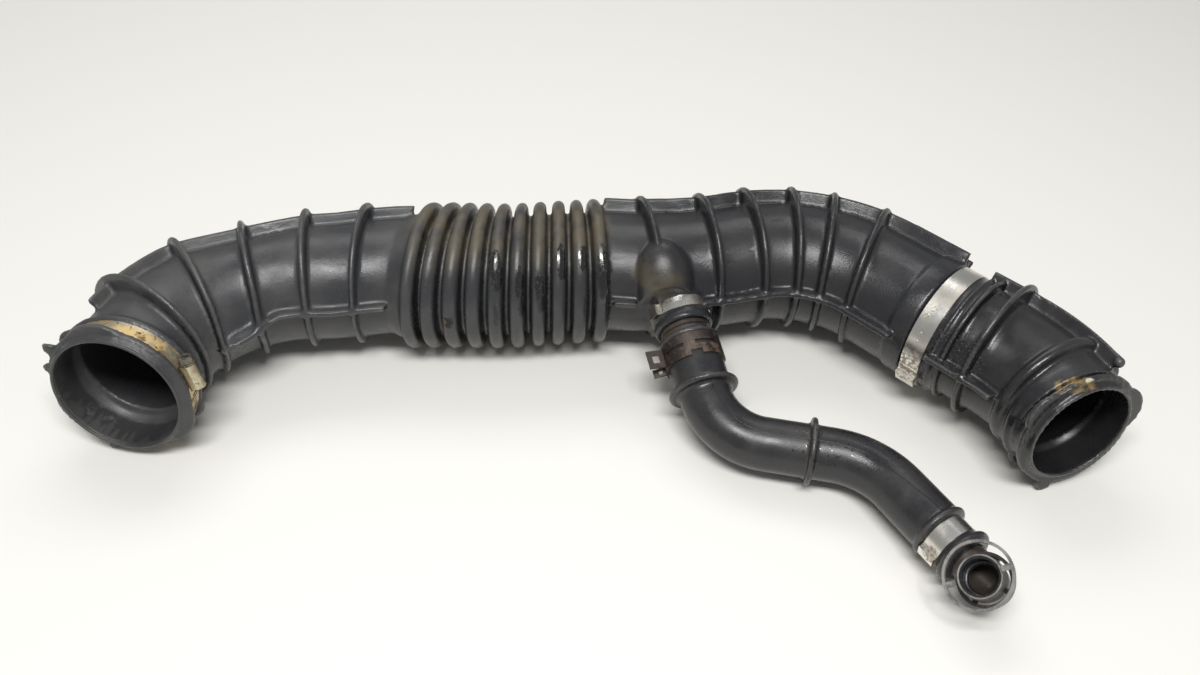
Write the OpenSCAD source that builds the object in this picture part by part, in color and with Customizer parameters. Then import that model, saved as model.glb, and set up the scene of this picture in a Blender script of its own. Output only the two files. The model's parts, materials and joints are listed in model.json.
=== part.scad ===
// Moulded rubber intake air duct with a bellows, a breather branch and its clamps.
// Origin: centre of the inlet mouth. +X runs along the bellows, +Z is up.
// A path is a list of stretches [length, turn, radius]: turn is clockwise degrees seen
// from above, and a straight stretch has no turn. A place on it is [x, y, heading].

/* [Left arm] */
// Bore radius of the left arm
left_bore_r = 33.5; // [31:0.5:35]
// Rubber wall of both arms
wall = 3; // [2.4:0.1:3.6]
// Turn of the left arm in degrees
left_turn = 76; // [70:1:82]
// Bend radius of the left arm
left_bend_r = 98; // [90:1:110]
// Straight between the left bend and the bellows
left_straight = 66; // [60:1:75]
// Straight between the inlet mouth and the left bend
inlet_straight = 20; // [19:1:24]

/* [Bellows] */
// Number of convolutions
convolutions = 10; // [6:1:12]
// Distance between two crests
convolution_pitch = 12.1; // [11.5:0.1:14]
// Outer radius over the crests, which is also the height of the axis over the floor
crest_r = 46.5; // [45:0.5:48]
// Radius of the round crest
crest_round = 4.2; // [4:0.1:4.8]
// Outer radius at the roots
root_r = 37.2; // [37:0.1:37.4]

/* [Right arm] */
// Bore radius of the right arm
right_bore_r = 35; // [34.5:0.1:35.5]
// Straight between the bellows and the swell behind the branch
branch_straight = 38; // [36:1:45]
// Counter turn behind the branch
counter_turn = 11; // [8:1:14]
// Radius of the counter turn
counter_r = 229; // [200:1:260]
// Turn of the main right bend
right_turn = 59.5; // [55:0.5:64]
// Radius of the main right bend
right_bend_r = 92; // [85:1:100]
// Straight from the right bend to the joint with the outlet elbow
joint_straight = 41; // [38:1:50]

/* [Ribs and webs] */
// Height of the ring ribs over the tube
rib_h = 8.2; // [6:0.2:9]
// Thickness of the ring ribs at their root
rib_t = 5; // [4:0.2:6]
// Shift of the ring ribs towards the back and the top
rib_shift = 2.6; // [1.6:0.2:3]
// Height of the long webs
web_h = 8; // [6:0.5:9]
// Thickness of the long webs
web_t = 3.6; // [3:0.2:4.4]
// Angle of the far web over the horizontal
far_web_angle = 52; // [45:1:60]

/* [Inlet cuff] */
// Bore radius of the inlet mouth
inlet_bore_r = 36.5; // [36.2:0.1:37.5]
// Depth of the inlet bore behind the mouth
inlet_depth = 20; // [18:0.5:22]
// Upward tilt of the inlet mouth
inlet_tilt = 8.5; // [6:0.5:10]
// Base radius of the lobed inlet flange
inlet_flange_r = 42; // [41.5:0.5:43]

/* [Outlet elbow] */
// Bore radius of the outlet elbow
elbow_bore_r = 32.5; // [32:0.1:33]
// Turn of the outlet elbow
elbow_turn = 26.5; // [22:0.5:30]
// Bend radius of the outlet elbow
elbow_bend_r = 100; // [90:1:110]
// Straight from the joint to the bend of the elbow
elbow_straight = 46; // [42:1:50]
// Bore radius of the outlet mouth
outlet_bore_r = 31.5; // [31:0.1:32]
// Depth of the outlet bore behind the mouth
outlet_depth = 20; // [18:0.5:22]
// Upward tilt of the outlet mouth
outlet_tilt = 6; // [4:0.5:8]
// Base radius of the lobed outlet flange
outlet_flange_r = 38.5; // [38:0.5:40]

/* [Joint] */
// Outer radius of the spigot inside the elbow
spigot_r = 35.6; // [35.2:0.1:36]
// Length of the spigot inside the elbow
spigot_len = 22; // [20:0.5:24]
// Wall of the spigot
spigot_wall = 2.6; // [2.2:0.1:2.8]
// Wall of the support sleeve inside the spigot
sleeve_wall = 1.6; // [1.2:0.1:2]
// Width of the joint clamp band
joint_band_w = 12.5; // [11:0.5:13]

/* [Branch] */
// Height of the branch axis over the duct axis, where it starts
branch_rise = 9.5; // [8:0.5:11]
// Heading of the branch seen from above
branch_heading = -80; // [-84:1:-76]
// Slope of the branch towards the floor
branch_slope = 16; // [13:1:18]
// Outer radius of the branch under its clamp
branch_r = 17.5; // [17:0.1:18]
// Bore radius of the branch
branch_bore_r = 14.8; // [14.5:0.1:15]
// Distance from the duct axis to the end of the branch
branch_len = 53; // [52:0.5:56]

/* [Breather hose] */
// Outer radius of the hose body
hose_r = 16.2; // [15.8:0.1:16.6]
// Wall of the hose
hose_wall = 3; // [2.6:0.1:3.4]
// Outer radius of the hose cuff on the nozzle
hose_cuff_r = 17.4; // [17:0.1:17.8]
// Gap between the branch and the hose, where the nozzle shows
nozzle_gap = 7.5; // [6:0.5:9]
// Length of the hose cuff up to the first bend
hose_cuff_len = 39; // [37:1:44]
// Radius of the first hose bend
hose_bend1_r = 42; // [40:1:46]
// Heading of the middle stretch
hose_mid_heading = -15; // [-20:1:-10]
// Length of the middle stretch
hose_mid_len = 40; // [37:1:46]
// Radius of the second hose bend
hose_bend2_r = 50; // [46:1:56]
// Heading of the last stretch
hose_end_heading = -64; // [-70:1:-58]
// Length of the last stretch
hose_end_len = 56; // [55:1:62]
// Outer radius of the hose under its end clamp
hose_seat_r = 13.6; // [13.4:0.1:14]

/* [End fitting] */
// Bore radius of the fitting
fitting_bore_r = 8.2; // [7.8:0.1:8.4]
// Outer radius of the fitting tube
fitting_r = 11.3; // [11.2:0.1:11.6]
// Bore radius of the fitting mouth
mouth_bore_r = 10.8; // [10.6:0.1:11]
// Outer radius of the fitting mouth
mouth_r = 12; // [11.9:0.1:12.4]
// Distance from the hose end to the corner of the fitting
corner_reach = 16; // [15.5:0.5:18]
// Distance from the corner to the rim of the mouth
mouth_reach = 17; // [16.5:0.5:20]
// Roll of the mouth from upright towards the front
mouth_roll = 40; // [36:1:42]
// Outer radius of the release ring
release_r = 18.4; // [18.2:0.1:19]

/* [Clamps] */
// Thickness of the clamp bands
band_t = 0.8; // [0.7:0.1:1]
// Width of the worm drive band
worm_band_w = 9; // [8:0.5:10]
// Angle of the worm housing around the inlet cuff
worm_angle = 17; // [10:1:25]
// Width of the branch ear clamp
branch_band_w = 7.5; // [7:0.5:8]
// Width of the hose end ear clamp
end_band_w = 11; // [10:0.5:11.5]
// Width of the spring band clamp
spring_band_w = 15; // [13:0.5:16]
// Thickness of the spring band clamp
spring_band_t = 1.2; // [1:0.1:1.4]

/* [Hidden] */
$fn = 64;

rubber = "#33353a";
rubber_gloss = "#2b2c31";
steel = "#c9c6bd";
rust_brown = "#5b4640";
plastic_brown = "#3a332e";
zinc = "#cfc3a4";

fit = 0.1;          // clearance between pieces that seat in each other
eps = 0.01;         // overlap that keeps cuts clean
left_r = left_bore_r + wall;
right_r = right_bore_r + wall;
elbow_r = elbow_bore_r + wall + 0.5;

// Distance travelled along one stretch of a path.
function stretch_len(g) = g[1] == 0 ? g[0] : g[2] * abs(g[1]) * PI / 180;

// Place after travelling d along stretch g from place p.
function travel(p, g, d) =
    g[1] == 0 ? [p[0] + d * cos(p[2]), p[1] + d * sin(p[2]), p[2]]
    : let (t = g[1] * d / stretch_len(g), r = sign(g[1]) * g[2])
      [p[0] + r * (sin(p[2]) - sin(p[2] - t)), p[1] + r * (cos(p[2] - t) - cos(p[2])), p[2] - t];

// Distance from the start of a path to the start of stretch i.
function stretch_start(path, i) =
    i == 0 ? 0 : stretch_start(path, i - 1) + stretch_len(path[i - 1]);

// Place at distance s along a path that starts at place p.
function station(path, p, s, i = 0) =
    s <= stretch_len(path[i]) || i == len(path) - 1 ? travel(p, path[i], s)
    : station(path, travel(p, path[i], stretch_len(path[i])), s - stretch_len(path[i]), i + 1);

// Bends and their webs are thinner than the straights by this much on each side, and the
// straights reach a little into the bends, so that no two surfaces lie on each other.
slim = 0.06;
duct_slim = 0.2;
reach = 0.5;

// Unit vector with a heading and a rise over the horizontal.
function unit(heading, rise) = [cos(heading) * cos(rise), sin(heading) * cos(rise), sin(rise)];

// Cuts across the travel: 2D x goes left, 2D y goes up, and +Z goes ahead.
module across(p) {
    translate([p[0], p[1], 0]) rotate([0, 0, p[2]]) rotate([90, 0, 90]) children();
}

// One stretch of a path with its cut given as 2D children.
module stretch(p, g, d) {
    if (g[1] == 0) across(p) linear_extrude(d) children();
    else if (g[1] > 0)
        translate([p[0] + g[2] * sin(p[2]), p[1] - g[2] * cos(p[2]), 0])
            rotate([0, 0, p[2] + 90 - g[1] * d / stretch_len(g)])
            rotate_extrude(angle = g[1] * d / stretch_len(g)) translate([g[2], 0]) children();
    else
        translate([p[0] - g[2] * sin(p[2]), p[1] + g[2] * cos(p[2]), 0])
            rotate([0, 0, p[2] - 90])
            rotate_extrude(angle = -g[1] * d / stretch_len(g)) translate([g[2], 0])
            mirror([1, 0]) children();
}

// The 2D children swept along a path from distance a to distance b. They see $slim.
module sweep(path, p, a, b) {
    for (i = [0 : len(path) - 1])
        let (s0 = stretch_start(path, i), more = path[i][1] == 0 ? reach : 0,
             lo = max(a, s0 - more), hi = min(b, s0 + stretch_len(path[i]) + more),
             $slim = more > 0 ? 0 : duct_slim)
            if (hi - lo > more + 0.05)
                stretch(travel(station(path, p, s0), path[i], lo - s0), path[i], hi - lo) children();
}

// A long web standing on a tube of radius r at angle a, seen along the travel.
module web(r, a, h = web_h, t = web_t) {
    rotate(a) translate([r - 1.2, -t / 2 + $slim]) square([h + 1.2 - $slim, t - 2 * $slim]);
}

// A ring rib on a tube of radius r: tapered, rounded over at its edge, shifted up and to
// the back, and leaning by some degrees from square to the path.
module ring_rib(p, lean, r, h = rib_h, t = rib_t, shift = rib_shift) {
    across([p[0], p[1], p[2] + lean]) translate([shift, shift, 0]) rotate_extrude()
        polygon([[r - 2, -t / 2], [r + h - 1, -t * 0.36], [r + h, -t * 0.16],
                 [r + h, t * 0.16], [r + h - 1, t * 0.36], [r - 2, t / 2]]);
}

// The three arms of the duct as paths.
inlet_path = [[inlet_straight, 0, 0], [0, left_turn, left_bend_r], [left_straight, 0, 0]];
inlet_place = [0, 0, left_turn];
left_len = stretch_start(inlet_path, 3);
bellows_place = station(inlet_path, inlet_place, left_len);
bellows_len = convolutions * convolution_pitch;
right_place = [bellows_place[0] + bellows_len, bellows_place[1], 0];
right_path = [[branch_straight, 0, 0], [0, -counter_turn, counter_r], [8, 0, 0],
              [0, right_turn, right_bend_r], [joint_straight, 0, 0]];
right_len = stretch_start(right_path, 5);
joint_place = station(right_path, right_place, right_len);
outlet_straight = 22;
elbow_path = [[elbow_straight, 0, 0], [0, elbow_turn, elbow_bend_r], [outlet_straight, 0, 0]];
elbow_len = stretch_start(elbow_path, 3);
outlet_place = station(elbow_path, joint_place, elbow_len);

// Puts its children on the axis of a mouth: +Z leaves the mouth, 2D x goes to the
// right of someone who looks into it, and 2D y goes up.
module on_mouth(place, out_heading, tilt) {
    translate([place[0], place[1], 0]) rotate([0, 0, out_heading]) rotate([0, -tilt, 0])
        rotate([90, 0, 90]) children();
}

module on_inlet() {
    on_mouth(inlet_place, left_turn + 180, inlet_tilt) children();
}

module on_outlet() {
    on_mouth(outlet_place, outlet_place[2], outlet_tilt) children();
}

// A round lobe of a flange that reaches out to radius reach at angle a.
module lobe(a, reach, round_r) {
    rotate(a) translate([reach - round_r, 0]) circle(r = round_r);
}

// Reach of a foot lobe at angle a on a tilted flange at distance w behind the mouth.
function foot_reach(a, w, tilt) = (crest_r - w * sin(tilt)) / (cos(tilt) * abs(sin(a)));

// Inlet cuff, all measured from the mouth plane inwards.
rim_len = 4;
flange_t = 3.5;
flange_back = rim_len + flange_t;
groove_len = 10;
groove_end = flange_back + groove_len;
shoulder_t = 3.5;
inlet_seat_r = inlet_bore_r + wall;
inlet_foot_angle = -106;
inlet_foot = foot_reach(inlet_foot_angle, rim_len + flange_t / 2, inlet_tilt);

module inlet_flange() {
    difference() {
        union() {
            circle(r = inlet_flange_r);
            for (a = [-148, -28, 104]) lobe(a, inlet_flange_r + 3.4, 24);
            lobe(inlet_foot_angle, inlet_foot, 3.2);
            lobe(168, inlet_flange_r + 3.6, 2.6);
            rotate(149) translate([inlet_flange_r - 8, 0])
                polygon([[0, -6.5], [9, -4.2], [14.5, -1], [14.5, 1.4], [8, 4.6], [0, 7]]);
        }
        circle(r = inlet_bore_r);
    }
}

module inlet_cuff() {
    on_inlet() {
        translate([0, 0, -rim_len]) cylinder(r1 = inlet_bore_r + wall, r2 = inlet_bore_r + wall - 0.8, h = rim_len);
        translate([0, 0, -flange_back]) linear_extrude(flange_t) inlet_flange();
        translate([0, 0, -groove_end]) cylinder(r = inlet_seat_r, h = groove_len + flange_t - 0.4);
        translate([0, 0, -groove_end - shoulder_t]) linear_extrude(shoulder_t) {
            circle(r = inlet_seat_r + 2.6);
            for (a = [-24, 12, 150]) lobe(a, inlet_seat_r + 5.6, 9);
        }
        translate([0, 0, -groove_end - shoulder_t - 7])
            cylinder(r1 = left_r, r2 = inlet_seat_r + 1.2, h = 7);
    }
}

module inlet_void() {
    on_inlet() {
        rotate_extrude()
            polygon([[0, 1], [inlet_bore_r, 1], [inlet_bore_r, -inlet_depth],
                     [left_bore_r, -inlet_depth - 5], [0, -inlet_depth - 5]]);
    }
}

// Outlet cuff, all measured from the mouth plane inwards.
outlet_seat_r = outlet_bore_r + wall;
outlet_groove_len = 11;
outlet_groove_end = flange_back + outlet_groove_len;
outlet_foot_angle = -104;
outlet_foot = foot_reach(outlet_foot_angle, rim_len + flange_t / 2, outlet_tilt);

module outlet_flange() {
    difference() {
        union() {
            circle(r = outlet_flange_r);
            lobe(6, outlet_flange_r + 6.6, 19);
            lobe(143, outlet_flange_r + 5, 15);
            lobe(-64, outlet_flange_r + 5, 36);
            lobe(outlet_foot_angle, outlet_foot, 6);
        }
        circle(r = outlet_bore_r);
    }
}

module outlet_cuff() {
    on_outlet() {
        translate([0, 0, -rim_len]) cylinder(r1 = outlet_bore_r + wall, r2 = outlet_bore_r + wall - 0.8, h = rim_len);
        translate([0, 0, -flange_back]) linear_extrude(flange_t) outlet_flange();
        translate([0, 0, -outlet_groove_end])
            cylinder(r = outlet_seat_r, h = outlet_groove_len + flange_t);
        translate([0, 0, -outlet_groove_end - shoulder_t]) linear_extrude(shoulder_t) {
            circle(r = outlet_seat_r + 3);
            lobe(38, outlet_seat_r + 7, 8);
            lobe(-128, outlet_seat_r + 6, 8);
        }
        translate([0, 0, -outlet_groove_end - shoulder_t - 5])
            cylinder(r1 = elbow_r, r2 = outlet_seat_r + 1.2, h = 5);
    }
}

module outlet_void() {
    on_outlet() {
        rotate_extrude()
            polygon([[0, 1], [outlet_bore_r, 1], [outlet_bore_r, -outlet_depth],
                     [outlet_bore_r - 3.5, -outlet_depth - 7], [0, -outlet_depth - 7]]);
    }
}

// Bellows outline in the plane of its axis: x along the axis, y the radius.
root_round = (convolution_pitch - 2 * crest_round) / 2;
bellows_wall = 2.6;

module bellows_outer_profile() {
    difference() {
        union() {
            square([bellows_len, root_r + root_round]);
            for (i = [0 : convolutions - 1]) translate([(i + 0.5) * convolution_pitch, 0]) {
                translate([-crest_round, 0]) square([2 * crest_round, crest_r - crest_round]);
                translate([0, crest_r - crest_round]) circle(r = crest_round);
            }
        }
        for (i = [0 : convolutions]) translate([i * convolution_pitch, root_r + root_round])
            circle(r = root_round);
    }
}

module bellows_inner_profile() {
    pocket = crest_round - bellows_wall;
    translate([-1, 0]) square([bellows_len + 2, root_r - bellows_wall]);
    for (i = [0 : convolutions - 1]) translate([(i + 0.5) * convolution_pitch, 0]) {
        translate([-pocket, 0]) square([2 * pocket, crest_r - crest_round]);
        translate([0, crest_r - crest_round]) circle(r = pocket);
    }
}

// Turns a profile of axis distance and radius round the bellows axis.
module round_bellows() {
    translate([bellows_place[0], bellows_place[1], 0]) rotate([90, 0, 90])
        rotate_extrude() rotate(90) mirror([0, 1]) children();
}

// Branch for the breather.
branch_t0 = 4;
saddle_end = 37;
saddle_slope = 0.306;
branch_x = right_place[0] + 37;
branch_dir = unit(branch_heading, -branch_slope);
branch_origin = [branch_x, right_place[1], branch_rise];

module on_branch(t = 0) {
    translate(branch_origin + t * branch_dir) rotate([0, 0, branch_heading])
        rotate([0, branch_slope, 0]) rotate([90, 0, 90]) children();
}

module branch_saddle() {
    root = branch_r + 1 + saddle_slope * (saddle_end - branch_t0);
    on_branch() rotate_extrude()
        polygon([[0, branch_t0], [root, branch_t0], [branch_r + 1, saddle_end], [0, saddle_end]]);
}

module branch_neck() {
    on_branch() rotate_extrude()
        polygon([[0, branch_t0 + 1], [branch_r, branch_t0 + 1], [branch_r, branch_len - 6.5],
                 [branch_r + 1.1, branch_len - 5.5], [branch_r + 1.1, branch_len - 0.6],
                 [branch_r + 0.5, branch_len], [0, branch_len]]);
}

// Room for the branch clamp where it sinks into the side of the duct, and the wall that
// stays between this room and the bore.
module branch_clamp_room() {
    on_branch(saddle_end + 0.2) cylinder(r = branch_r + 1.5, h = 12);
}

module branch_clamp_wall() {
    on_branch(saddle_end - 2.6) cylinder(r = branch_r + 4.2, h = 14);
}

module branch_void() {
    on_branch(0) cylinder(r = branch_bore_r, h = branch_len + 1);
}

// Webs of both arms: the far one, the near one and the one below.
near_web_angle = far_web_angle + 115;
low_web_angle = far_web_angle - 125;
right_web_h = web_h + 1.5;

// Ribs of both arms as [distance, lean].
left_rib_places = [[47, -4], [80, -11], [114.5, -6], [150.5, 2.5], [184, -1]];
right_rib_places = [[27, 6], [65, -1], [95, -3], [122, 4], [144.5, 6], [173, 10]];

module left_webs() {
    sweep(inlet_path, inlet_place, 34, left_len - 6) web(left_r, far_web_angle);
    sweep(inlet_path, inlet_place, 78, left_len - 8) web(left_r, near_web_angle, web_h - 1);
    sweep(inlet_path, inlet_place, 56, left_len - 8) web(left_r, low_web_angle, web_h - 1);
}

module right_webs() {
    sweep(right_path, right_place, 0.6, right_len - 2) web(right_r, far_web_angle, right_web_h);
    sweep(right_path, right_place, 54, right_len - 8) web(right_r, near_web_angle, web_h);
    sweep(right_path, right_place, 0.6, 16) web(right_r, near_web_angle, web_h - 1);
    sweep(right_path, right_place, 4, right_len - 20) web(right_r, low_web_angle, web_h - 2);
    sweep(right_path, right_place, 168, right_len - 2) web(right_r, far_web_angle - 20, web_h);
}

module left_ribs() {
    for (q = left_rib_places) ring_rib(station(inlet_path, inlet_place, q[0]), q[1], left_r);
}

module right_ribs() {
    for (q = right_rib_places) ring_rib(station(right_path, right_place, q[0]), q[1], right_r);
}

// Stepped collar and spigot at the right end of the main duct.
collar_len = 13.5;
spigot_bore_r = spigot_r - spigot_wall;

module duct_collar() {
    across(joint_place) rotate_extrude()
        polygon([[0, -collar_len], [right_r + 1, -collar_len], [right_r + 1.6, 0.6 - collar_len],
                 [right_r + 1.6, -0.6], [right_r + 1, 0], [spigot_r, 0],
                 [spigot_r, spigot_len - 1], [spigot_r - 0.6, spigot_len], [0, spigot_len]]);
}

module duct_end_void() {
    across(joint_place) rotate_extrude()
        polygon([[0, -8], [right_bore_r + 0.4, -8], [spigot_bore_r, -1], [spigot_bore_r, spigot_len + 1],
                 [0, spigot_len + 1]]);
}

// The right arm without its bore, cut back for the branch clamp.
module right_arm() {
    difference() {
        union() {
            sweep(right_path, right_place, -2, right_len - 1) circle(r = right_r - $slim);
            right_webs();
            right_ribs();
            branch_saddle();
        }
        branch_clamp_room();
    }
}

module main_duct() {
    color(rubber) difference() {
        union() {
            inlet_cuff();
            sweep(inlet_path, inlet_place, 14, left_len + 1) circle(r = left_r - $slim);
            across(station(inlet_path, inlet_place, left_len - 9))
                cylinder(r1 = left_r, r2 = crest_r - 5, h = 9 + 2);
            round_bellows() bellows_outer_profile();
            left_webs();
            left_ribs();
            right_arm();
            branch_neck();
            duct_collar();
        }
        inlet_void();
        sweep(inlet_path, inlet_place, inlet_depth, left_len + 0.5) circle(r = left_bore_r - $slim);
        round_bellows() bellows_inner_profile();
        difference() {
            sweep(right_path, right_place, -0.5, right_len - 7.5) circle(r = right_bore_r - $slim);
            branch_clamp_wall();
        }
        branch_void();
        duct_end_void();
    }
}

// The elbow takes the spigot in a socket and reduces to its own bore behind it.
socket_r = spigot_r + fit;
socket_outer_r = socket_r + wall - 0.4;
socket_len = spigot_len + 1;
band_start = 1.2;

module elbow_webs() {
    sweep(elbow_path, joint_place, band_start + joint_band_w + 3, elbow_len - 18)
        web(elbow_r, far_web_angle, web_h + 1);
    sweep(elbow_path, joint_place, band_start + joint_band_w + 2, elbow_len - 42)
        web(elbow_r, near_web_angle, web_h + 1);
    sweep(elbow_path, joint_place, socket_len, elbow_len - 40)
        web(elbow_r, low_web_angle, web_h - 1);
}

module elbow_ribs() {
    ring_rib(station(elbow_path, joint_place, 18.5), 0, socket_outer_r, 1.6, 2.4, 0);
    ring_rib(station(elbow_path, joint_place, 25), 0, elbow_r, 5, 4, 1);
    ring_rib(station(elbow_path, joint_place, 40.5), 0, elbow_r, rib_h + 1, 5, 2.4);
    ring_rib(station(elbow_path, joint_place, 80), 0, elbow_r, 4, 9, 1);
}

// Round knob where the far web of the elbow ends.
module elbow_knob() {
    across(station(elbow_path, joint_place, elbow_len - 18)) rotate(far_web_angle)
        translate([elbow_r + web_h - 2, 0, 0]) sphere(r = 3.4);
}

module outlet_elbow() {
    color(rubber_gloss) difference() {
        union() {
            across(station(elbow_path, joint_place, 0.3)) cylinder(r = socket_outer_r, h = socket_len + 2);
            sweep(elbow_path, joint_place, socket_len - 1, elbow_len - 14) circle(r = elbow_r - $slim);
            outlet_cuff();
            elbow_webs();
            elbow_ribs();
            elbow_knob();
        }
        across(joint_place) translate([0, 0, -1]) cylinder(r = socket_r, h = socket_len + 1);
        sweep(elbow_path, joint_place, socket_len - 1, elbow_len - outlet_depth - 2)
            circle(r = elbow_bore_r - $slim);
        outlet_void();
    }
}

// Sleeve pressed into the spigot so that the band has something to squeeze against.
module joint_sleeve() {
    color(steel) across(joint_place) difference() {
        union() {
            translate([0, 0, -4]) cylinder(r = spigot_bore_r - fit, h = spigot_len + 4);
            translate([0, 0, spigot_len + 0.2]) cylinder(r = spigot_bore_r + 1.2, h = 0.7);
            translate([0, 0, spigot_len - eps]) cylinder(r = spigot_bore_r - fit, h = 0.2 + 2 * eps);
        }
        translate([0, 0, -5]) cylinder(r = spigot_bore_r - fit - sleeve_wall, h = spigot_len + 8);
    }
}

// A flat band round +Z with its inner radius r, from 0 to w.
module band(r, w, t = band_t) {
    difference() {
        cylinder(r = r + t, h = w, $fn = 96);
        translate([0, 0, -1]) cylinder(r = r, h = w + 2, $fn = 96);
    }
}

// The raised ear of a clamp, crimped to an omega outline, over the band at angle a.
module ear(r, a, w, wide, high, t = band_t) {
    rotate(a) translate([r + t, 0, 0]) linear_extrude(w) difference() {
        union() {
            translate([-0.9 * t, -wide / 2]) square([high + 0.9 * t, wide]);
            translate([-0.9 * t, -wide / 2 - t]) square([1.5 * t, wide + 2 * t]);
        }
        translate([0, -wide / 2 + t]) square([high - t, wide - 2 * t]);
        for (s = [-1, 1]) translate([high * 0.5, s * wide / 2]) circle(r = t * 0.6, $fn = 24);
    }
}

module joint_clamp() {
    color(steel) across(joint_place) translate([0, 0, band_start]) {
        difference() {
            union() {
                band(socket_outer_r + fit, joint_band_w);
                rotate(207) translate([0, 0, 0.01]) linear_extrude(joint_band_w - 0.02)
                    difference() {
                        intersection() {
                            circle(r = socket_outer_r + fit + 1.8 * band_t, $fn = 96);
                            translate([10, -11]) square([40, 22]);
                        }
                        circle(r = socket_outer_r + fit + 0.4 * band_t, $fn = 96);
                    }
                ear(socket_outer_r + fit, 204, joint_band_w, 9, 4);
            }
            for (a = [150, 158]) rotate(a)
                translate([socket_outer_r + fit + 0.55 * band_t, 0, joint_band_w / 2])
                rotate([0, 90, 0]) cylinder(r = 1.3, h = 2, $fn = 24);
        }
    }
}

// Worm drive clamp round the inlet cuff.
worm_band_start = groove_end - (groove_len + worm_band_w) / 2;
worm_band_r = inlet_seat_r + fit;
housing_len = 15.5;
housing_r = 3.7;
screw_r = 2.7;
screw_lift = worm_band_r + 3 * band_t + screw_r + 0.5;

module on_worm_band() {
    on_inlet() translate([0, 0, -worm_band_start - worm_band_w]) children();
}

module worm_tail_slots() {
    for (i = [0 : 7]) rotate(worm_angle - 17 - i * 3.2)
        translate([worm_band_r + 2.4 * band_t, 0, worm_band_w / 2]) rotate([14, 0, 0])
        cube([3 * band_t, 1, worm_band_w * 0.55], center = true);
}

module inlet_clamp_band() {
    color(steel) on_worm_band() difference() {
        union() {
            band(worm_band_r, worm_band_w);
            rotate(worm_angle - 46) rotate_extrude(angle = 78, $fn = 96)
                translate([worm_band_r + band_t - eps, 0]) square([band_t, worm_band_w]);
        }
        worm_tail_slots();
    }
}

// Housing: an open arch over the screw with feet that grip the band.
module inlet_clamp_housing() {
    color(zinc) on_worm_band() rotate(worm_angle)
        translate([0, housing_len / 2, worm_band_w / 2]) rotate([90, 0, 0])
        linear_extrude(housing_len) difference() {
            union() {
                translate([screw_lift, 0]) circle(r = housing_r);
                translate([worm_band_r + 2 * band_t + 0.7, -worm_band_w / 2 - 0.2])
                    square([1.2, worm_band_w + 0.4]);
                translate([worm_band_r + 2 * band_t + 0.7, -housing_r])
                    square([screw_lift - worm_band_r - 2 * band_t - 0.7, 2 * housing_r]);
            }
            translate([screw_lift, 0]) circle(r = screw_r + fit);
        }
}

// Screw with a slotted hexagon head and a plain worm.
module inlet_clamp_screw() {
    color(zinc) on_worm_band() rotate(worm_angle)
        translate([screw_lift, housing_len / 2, worm_band_w / 2]) rotate([90, 0, 0]) difference() {
            union() {
                translate([0, 0, 0.5]) cylinder(r = screw_r, h = housing_len - 0.9);
                translate([0, 0, -1.4]) cylinder(r = 4, h = 1);
                translate([0, 0, -0.5]) cylinder(r = screw_r, h = 1.1);
                translate([0, 0, -5.4]) cylinder(r = 3.9, h = 4.1, $fn = 6);
            }
            translate([-5, -0.5, -6]) cube([10, 1, 2]);
        }
}

module branch_clamp() {
    color(steel) on_branch(saddle_end + 0.6) {
        band(branch_r + fit, branch_band_w);
        ear(branch_r + fit, 155, branch_band_w, 7, 3.2);
    }
}

// Nozzle that joins the branch and the breather hose.
nozzle_r = branch_bore_r - fit;
nozzle_bore_r = 11.4;
nozzle_start = 31;
hose_start = branch_len + nozzle_gap;
nozzle_end = hose_start + 29;
cuff_bore_r = 13.6;

module branch_nozzle() {
    tip_r = cuff_bore_r - fit;
    color(plastic_brown) on_branch() rotate_extrude()
        polygon([[nozzle_bore_r, nozzle_start], [nozzle_r - 1, nozzle_start], [nozzle_r, nozzle_start + 3],
                 [nozzle_r, branch_len + 0.2], [nozzle_r + 0.9, branch_len + 0.2],
                 [nozzle_r + 0.9, branch_len + 2.6], [nozzle_r, branch_len + 3],
                 [nozzle_r, hose_start - 2], [tip_r, hose_start - 1],
                 [tip_r, nozzle_end - 3], [tip_r - 1.2, nozzle_end], [nozzle_bore_r, nozzle_end]]);
}

// Breather hose: a cuff along the branch, a bend to the level middle stretch, a level
// bend and a last stretch that ends on the fitting.
hose_dir1 = branch_dir;
hose_dir2 = unit(hose_mid_heading, 0);
hose_turn1 = acos(hose_dir1 * hose_dir2);
hose_p1 = branch_origin + (hose_start + hose_cuff_len) * hose_dir1;
hose_in1 = (hose_dir2 - hose_dir1 * cos(hose_turn1)) / sin(hose_turn1);
hose_p2 = hose_p1 + hose_bend1_r * tan(hose_turn1 / 2) * (hose_dir1 + hose_dir2);
hose_turn2 = hose_mid_heading - hose_end_heading;
hose_p3 = hose_p2 + hose_mid_len * hose_dir2;
hose_dir3 = unit(hose_end_heading, 0);
hose_p4 = hose_p3 + hose_bend2_r * tan(hose_turn2 / 2) * (hose_dir2 + hose_dir3);
hose_end = hose_p4 + hose_end_len * hose_dir3;

// Children's +Z runs level along a heading from point p.
module level(p, heading) {
    translate(p) rotate([0, 0, heading]) rotate([90, 0, 90]) children();
}

// First bend, in the plane of the branch and the middle stretch.
module hose_bend1() {
    x = -hose_in1;
    z = cross(x, hose_dir1);
    c = hose_p1 + hose_bend1_r * hose_in1;
    multmatrix([[x[0], hose_dir1[0], z[0], c[0]],
                [x[1], hose_dir1[1], z[1], c[1]],
                [x[2], hose_dir1[2], z[2], c[2]],
                [0, 0, 0, 1]])
        rotate_extrude(angle = hose_turn1) translate([hose_bend1_r, 0]) children();
}

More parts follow.
